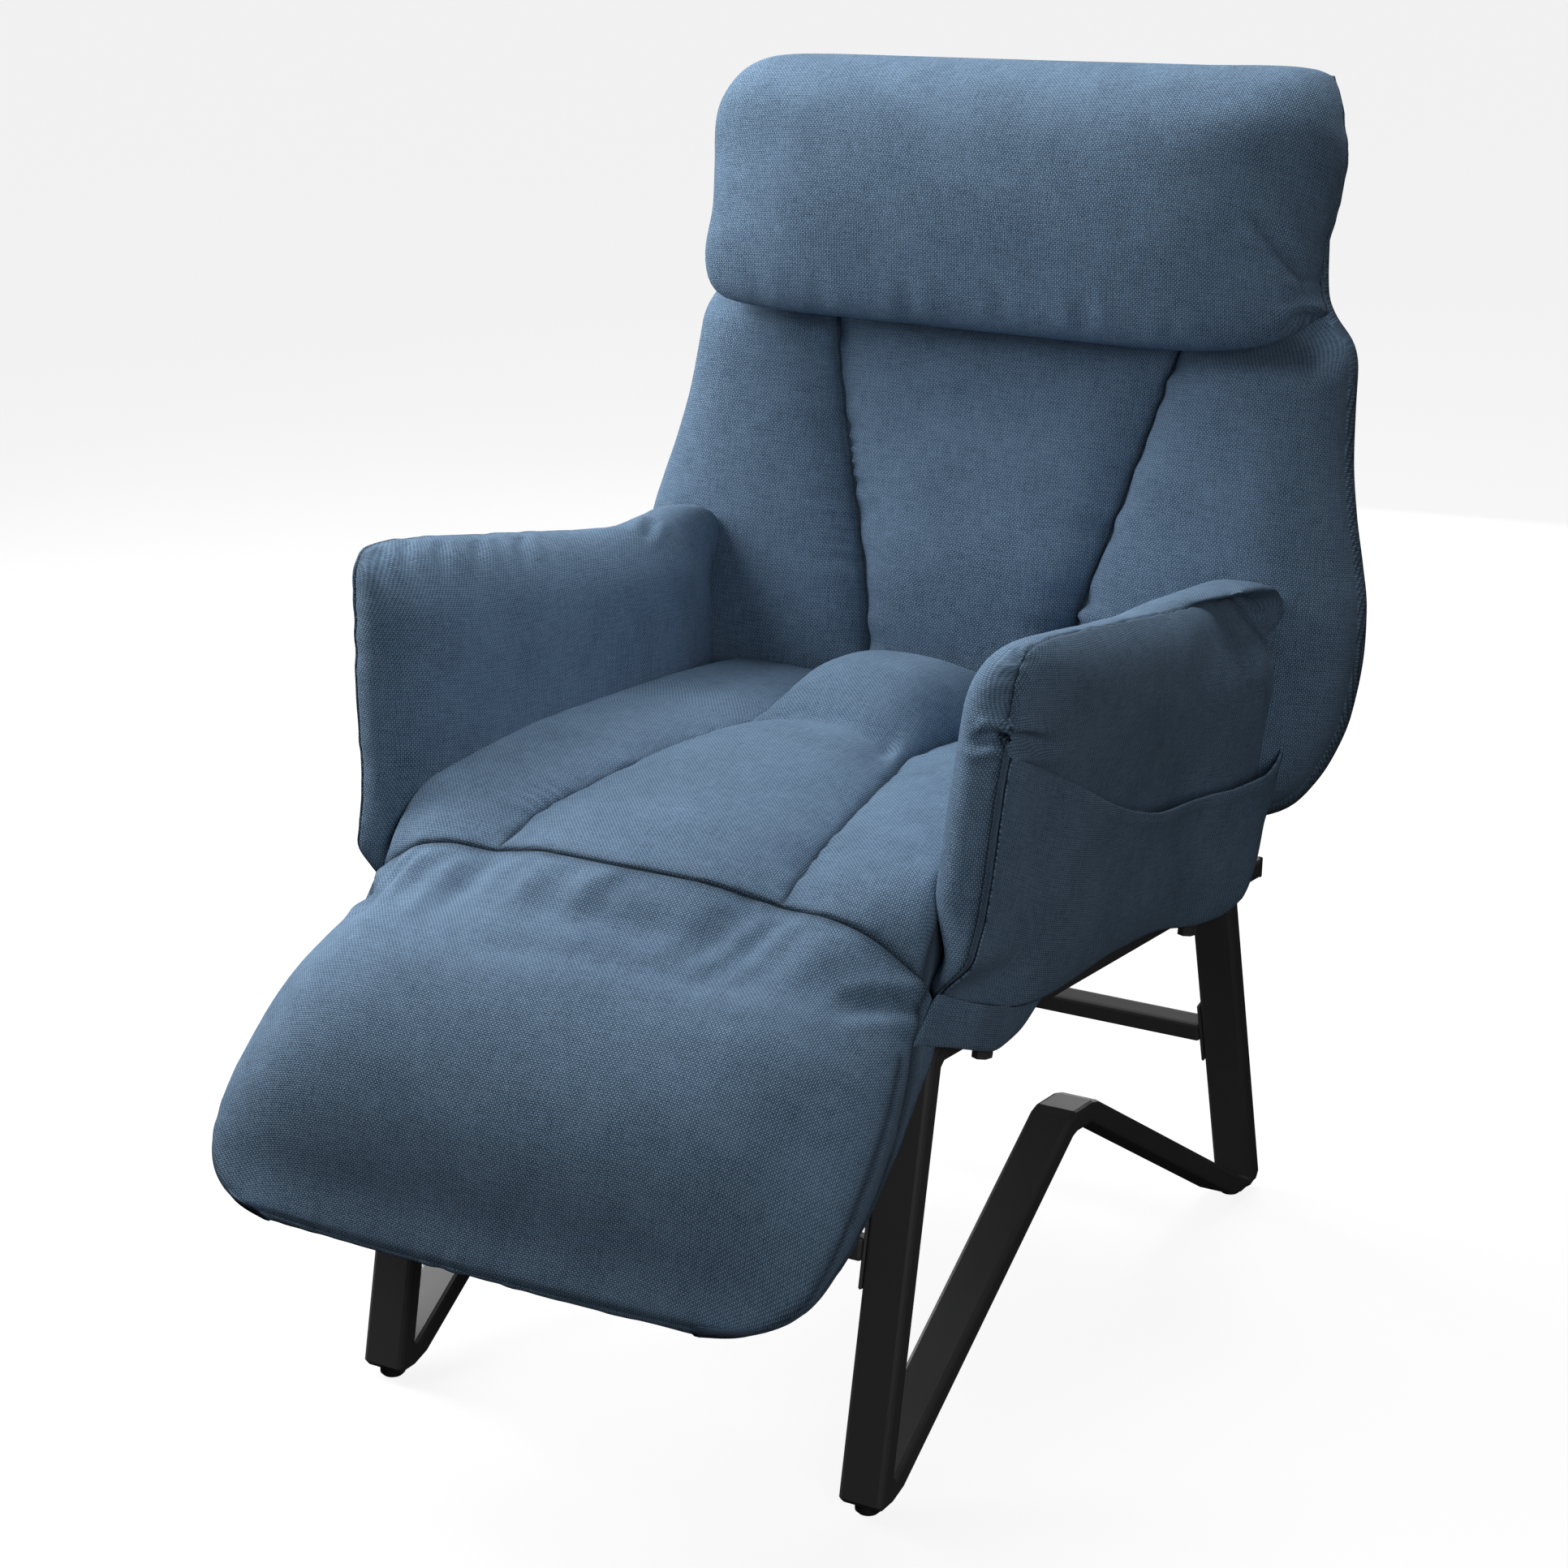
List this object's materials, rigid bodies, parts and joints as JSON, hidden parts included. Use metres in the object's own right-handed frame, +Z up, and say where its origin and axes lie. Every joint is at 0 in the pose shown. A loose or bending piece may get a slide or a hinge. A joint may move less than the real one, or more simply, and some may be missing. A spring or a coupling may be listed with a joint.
{
  "type": "recliner",
  "caption": "Padded lounge recliner in woven fabric with a reclining back, lifting foot rest and head pillow on a black bent flat-tube steel base with side pockets.",
  "frame": {"origin": "on the floor under the middle of the chair's box", "axes": "+Z up, the chair faces -Y, +X is the sitter's left"},
  "size_m": [0.722, 0.9956, 1.063],
  "materials": {
    "woven_fabric": "chunky slate-blue basket weave",
    "webbing": "black elastic webbing",
    "powder_coat": "satin black powder coat",
    "zinc_steel": "zinc plated",
    "black_plastic": "matt moulded black"
  },
  "bodies": {
    "base": {"side_frame_left": "powder_coat", "rail_end_cap_left": "black_plastic", "glide_front_left": "black_plastic", "crossbar_bracket_front_left": "powder_coat", "bracket_bolt_front_left": "zinc_steel", "seat_bolt_front_left": "zinc_steel", "arm_bolt_front_left": "zinc_steel", "glide_rear_left": "black_plastic", "crossbar_bracket_rear_left": "powder_coat", "bracket_bolt_rear_left": "zinc_steel", "seat_bolt_rear_left": "zinc_steel", "arm_bolt_rear_left": "zinc_steel", "arm_cushion_left": "woven_fabric", "arm_frame_left": "powder_coat", "arm_outer_panel_left": "woven_fabric", "side_pocket_left": "woven_fabric", "recline_ear_left": "zinc_steel", "recline_pin_left": "zinc_steel", "footrest_ear_left": "zinc_steel", "footrest_pin_left": "zinc_steel", "side_frame_right": "powder_coat", "rail_end_cap_right": "black_plastic", "glide_front_right": "black_plastic", "crossbar_bracket_front_right": "powder_coat", "bracket_bolt_front_right": "zinc_steel", "seat_bolt_front_right": "zinc_steel", "arm_bolt_front_right": "zinc_steel", "glide_rear_right": "black_plastic", "crossbar_bracket_rear_right": "powder_coat", "bracket_bolt_rear_right": "zinc_steel", "seat_bolt_rear_right": "zinc_steel", "arm_bolt_rear_right": "zinc_steel", "arm_cushion_right": "woven_fabric", "arm_frame_right": "powder_coat", "arm_outer_panel_right": "woven_fabric", "side_pocket_right": "woven_fabric", "recline_ear_right": "zinc_steel", "recline_pin_right": "zinc_steel", "footrest_ear_right": "zinc_steel", "footrest_pin_right": "zinc_steel", "crossbar_front": "powder_coat", "crossbar_rear": "powder_coat", "seat_frame": "powder_coat", "seat_strap_1": "webbing", "seat_strap_2": "webbing", "seat_strap_3": "webbing", "seat_cushion": "woven_fabric"},
    "back": {"back_cushion": "woven_fabric", "back_frame": "powder_coat", "back_strap_1": "webbing", "back_strap_2": "webbing", "back_rear_panel": "woven_fabric", "recline_arm_left": "zinc_steel", "recline_arm_right": "zinc_steel"},
    "footrest": {"footrest_cushion": "woven_fabric", "footrest_frame": "powder_coat", "footrest_under_panel": "woven_fabric", "footrest_arm_left": "zinc_steel", "footrest_arm_right": "zinc_steel"},
    "headrest": {"headrest_pillow": "woven_fabric"}
  },
  "joints": [
    {"name": "back_recline", "type": "hinge", "parent": "base", "child": "back", "pos_m": [0, 0.2905, 0.45], "axis": [-1, 0, 0], "range_deg": [0, 55]},
    {"name": "footrest_lift", "type": "hinge", "parent": "base", "child": "footrest", "pos_m": [0, -0.2645, 0.4], "axis": [-1, 0, 0], "range_deg": [-30, 40]},
    {"name": "headrest_flip", "type": "hinge", "parent": "back", "child": "headrest", "pos_m": [0, 0.4425, 1.05], "axis": [-1, 0, 0], "range_deg": [0, 170]}
  ]
}
